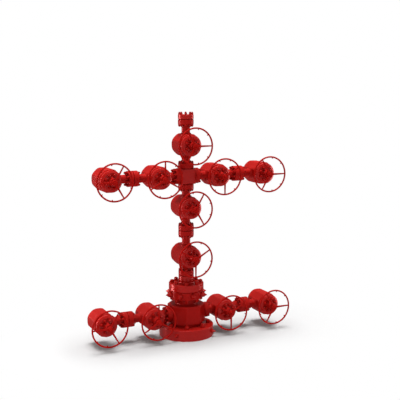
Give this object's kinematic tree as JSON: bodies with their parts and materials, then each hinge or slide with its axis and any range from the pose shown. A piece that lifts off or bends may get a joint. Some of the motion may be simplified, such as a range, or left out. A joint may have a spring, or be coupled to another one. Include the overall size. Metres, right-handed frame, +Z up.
{
  "type": "oil wellhead valve stack",
  "caption": "Surface wellhead stack: octagonal tubing head on a round base flange, gate valves up a tower, two levels of wing valves, each with a spoked handwheel.",
  "frame": {"origin": "centre of the underside of the base flange, on the ground", "axes": "+Z up the tower, X along the flow arms, handwheels facing -Y"},
  "size_m": [3.059, 0.783, 3.165],
  "materials": {
    "red_paint": "gloss"
  },
  "bodies": {
    "stack": {"adapter": "red_paint", "base_flange": "red_paint", "base_left_inner_body": "red_paint", "base_left_inner_bonnet": "red_paint", "base_left_outer_body": "red_paint", "base_left_outer_bonnet": "red_paint", "base_right_inner_body": "red_paint", "base_right_inner_bonnet": "red_paint", "base_right_outer_body": "red_paint", "base_right_outer_bonnet": "red_paint", "base_screws": "red_paint", "cross_left_inner_body": "red_paint", "cross_left_inner_bonnet": "red_paint", "cross_left_outer_body": "red_paint", "cross_left_outer_bonnet": "red_paint", "cross_right_inner_body": "red_paint", "cross_right_inner_bonnet": "red_paint", "cross_right_outer_body": "red_paint", "cross_right_outer_bonnet": "red_paint", "flow_cross": "red_paint", "lockdown_screws": "red_paint", "lower_master_body": "red_paint", "lower_master_bonnet": "red_paint", "swab_body": "red_paint", "swab_bonnet": "red_paint", "tree_cap": "red_paint", "tubing_head": "red_paint", "upper_master_body": "red_paint", "upper_master_bonnet": "red_paint"},
    "lower_master_handwheel": {"lower_master_handwheel": "red_paint"},
    "upper_master_handwheel": {"upper_master_handwheel": "red_paint"},
    "swab_handwheel": {"swab_handwheel": "red_paint"},
    "cross_left_inner_handwheel": {"cross_left_inner_handwheel": "red_paint"},
    "cross_left_outer_handwheel": {"cross_left_outer_handwheel": "red_paint"},
    "cross_right_inner_handwheel": {"cross_right_inner_handwheel": "red_paint"},
    "cross_right_outer_handwheel": {"cross_right_outer_handwheel": "red_paint"},
    "base_left_inner_handwheel": {"base_left_inner_handwheel": "red_paint"},
    "base_left_outer_handwheel": {"base_left_outer_handwheel": "red_paint"},
    "base_right_inner_handwheel": {"base_right_inner_handwheel": "red_paint"},
    "base_right_outer_handwheel": {"base_right_outer_handwheel": "red_paint"}
  },
  "joints": [
    {"name": "lower_master_wheel_turn", "type": "hinge", "parent": "stack", "child": "lower_master_handwheel", "pos_m": [0, -0.333, 1.16], "axis": [0, -1, 0], "continuous": true},
    {"name": "upper_master_wheel_turn", "type": "hinge", "parent": "stack", "child": "upper_master_handwheel", "pos_m": [0, -0.333, 1.862], "axis": [0, -1, 0], "continuous": true},
    {"name": "swab_wheel_turn", "type": "hinge", "parent": "stack", "child": "swab_handwheel", "pos_m": [0, -0.333, 2.741], "axis": [0, -1, 0], "continuous": true},
    {"name": "cross_left_inner_wheel_turn", "type": "hinge", "parent": "stack", "child": "cross_left_inner_handwheel", "pos_m": [-0.45, -0.333, 2.302], "axis": [0, -1, 0], "continuous": true},
    {"name": "cross_left_outer_wheel_turn", "type": "hinge", "parent": "stack", "child": "cross_left_outer_handwheel", "pos_m": [-1.169, -0.333, 2.302], "axis": [0, -1, 0], "continuous": true},
    {"name": "cross_right_inner_wheel_turn", "type": "hinge", "parent": "stack", "child": "cross_right_inner_handwheel", "pos_m": [0.45, -0.333, 2.302], "axis": [0, -1, 0], "continuous": true},
    {"name": "cross_right_outer_wheel_turn", "type": "hinge", "parent": "stack", "child": "cross_right_outer_handwheel", "pos_m": [1.169, -0.333, 2.302], "axis": [0, -1, 0], "continuous": true},
    {"name": "base_left_inner_wheel_turn", "type": "hinge", "parent": "stack", "child": "base_left_inner_handwheel", "pos_m": [-0.56, -0.333, 0.327], "axis": [0, -1, 0], "continuous": true},
    {"name": "base_left_outer_wheel_turn", "type": "hinge", "parent": "stack", "child": "base_left_outer_handwheel", "pos_m": [-1.268, -0.333, 0.327], "axis": [0, -1, 0], "continuous": true},
    {"name": "base_right_inner_wheel_turn", "type": "hinge", "parent": "stack", "child": "base_right_inner_handwheel", "pos_m": [0.56, -0.333, 0.327], "axis": [0, -1, 0], "continuous": true},
    {"name": "base_right_outer_wheel_turn", "type": "hinge", "parent": "stack", "child": "base_right_outer_handwheel", "pos_m": [1.268, -0.333, 0.327], "axis": [0, -1, 0], "continuous": true}
  ]
}
